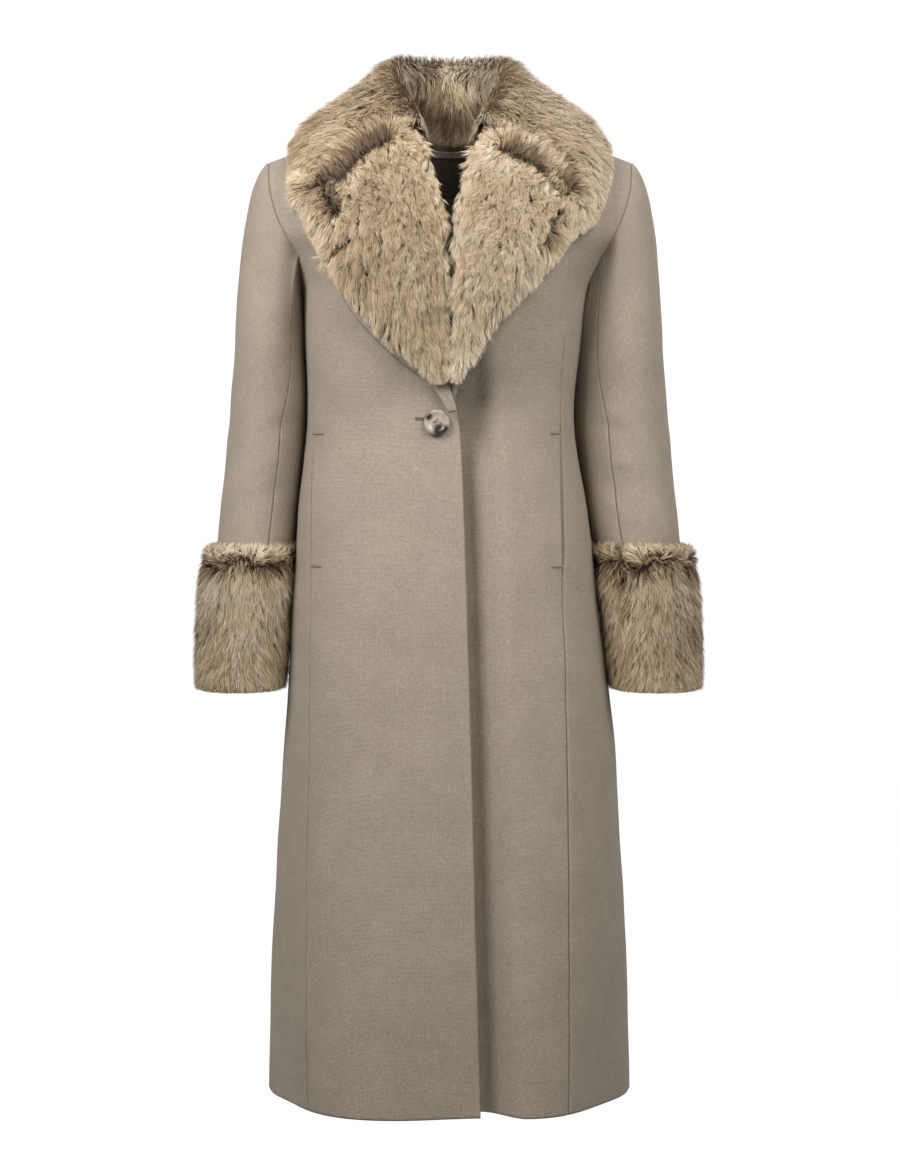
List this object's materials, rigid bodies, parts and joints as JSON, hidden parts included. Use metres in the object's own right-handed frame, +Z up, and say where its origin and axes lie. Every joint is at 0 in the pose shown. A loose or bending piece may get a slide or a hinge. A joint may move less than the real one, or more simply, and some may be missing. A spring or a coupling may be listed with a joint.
{
  "type": "winter coat",
  "caption": "Long fitted wool coat, filled out as if worn, with a fur shawl-like collar and lapels, fur cuffs, pockets in the front seams and a button closing.",
  "frame": {"origin": "between the shoulder neck points, in the middle of the neck opening, where the coat rests on its wearer", "axes": "+Z up, +X towards the wearer's left, and the coat's front faces -Y"},
  "size_m": [0.585, 0.3119, 1.196],
  "materials": {
    "wool": "matt heathered wool coating in taupe",
    "fur": "fluffy pile in cream and tan over darker roots",
    "label": "bare dark brown woven satin",
    "horn": "polished horn look with dark brown patches"
  },
  "bodies": {
    "root": {"front_right": "wool", "front_left": "wool", "side_right": "wool", "side_left": "wool", "back": "wool", "upper_sleeve_right": "wool", "upper_sleeve_left": "wool", "under_sleeve_right": "wool", "under_sleeve_left": "wool", "revers_right": "wool", "revers_left": "wool", "pocket_welt_right": "wool", "pocket_welt_left": "wool", "neck_facing": "wool", "collar": "fur", "lapel_right": "fur", "lapel_left": "fur", "cuff_right": "fur", "cuff_left": "fur", "label": "label", "button": "horn"}
  },
  "joints": []
}
